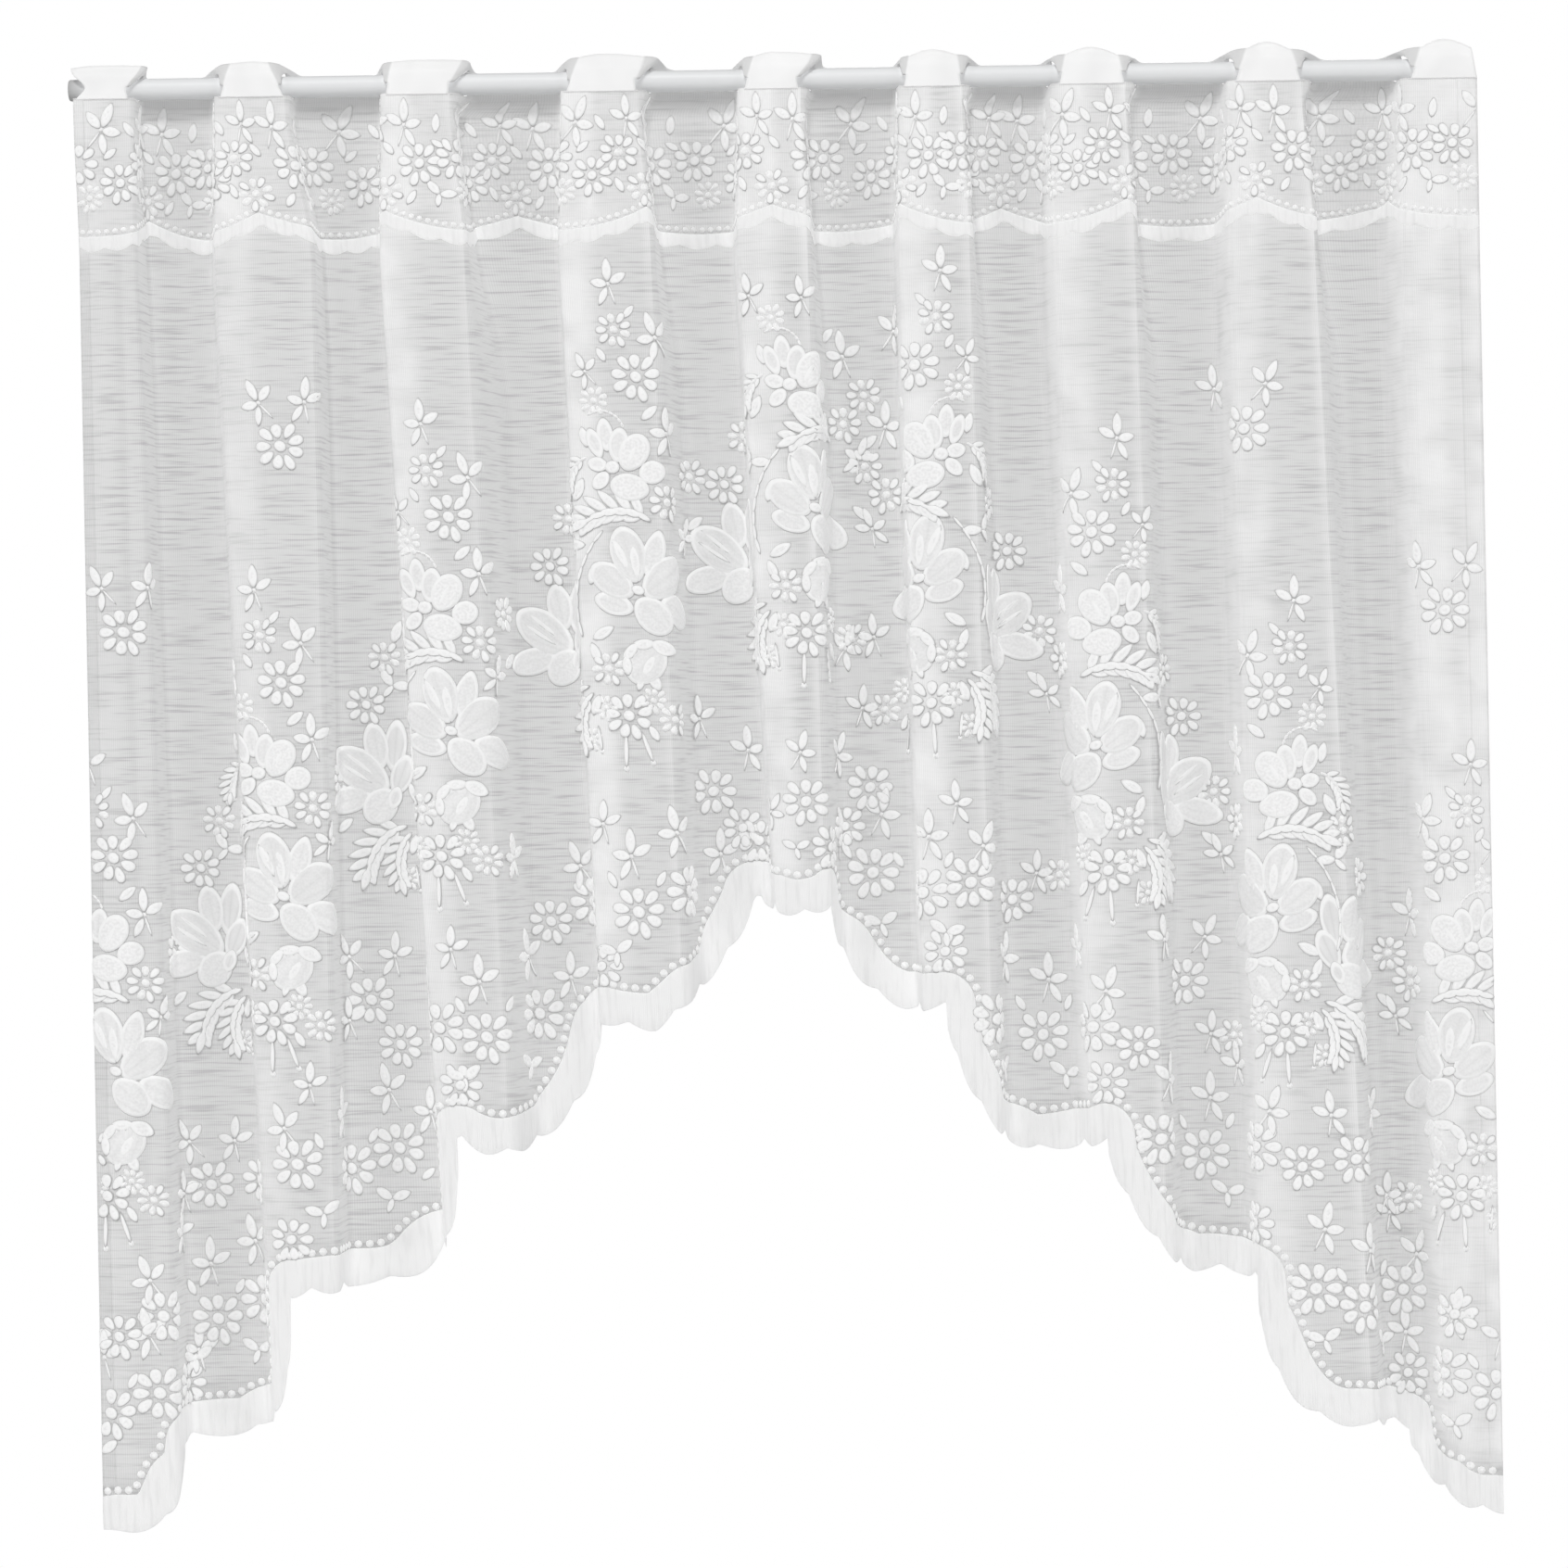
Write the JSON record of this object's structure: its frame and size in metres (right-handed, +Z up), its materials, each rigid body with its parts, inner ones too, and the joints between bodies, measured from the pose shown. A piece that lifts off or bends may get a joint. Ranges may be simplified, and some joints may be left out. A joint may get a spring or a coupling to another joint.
{
  "type": "lace valance on a curtain rod",
  "caption": "Sheer white floral lace valance with an arched, scalloped hem, threaded by slits in its plain heading onto a straight round curtain rod.",
  "frame": {"origin": "on the rod's axis, at the middle of the cloth's width", "axes": "+X along the rod to the right as the face is seen, +Y from the cloth's face to its back, +Z up"},
  "size_m": [0.8666, 0.0372, 0.9029],
  "materials": {
    "rod": "satin pale grey-white paint",
    "heading": "dense plain white weave, matte",
    "lace": "sheer white net with dense woven flowers and border, matte"
  },
  "bodies": {
    "root": {"rod": "rod", "heading": "heading", "lace_panel": "lace"}
  },
  "joints": []
}
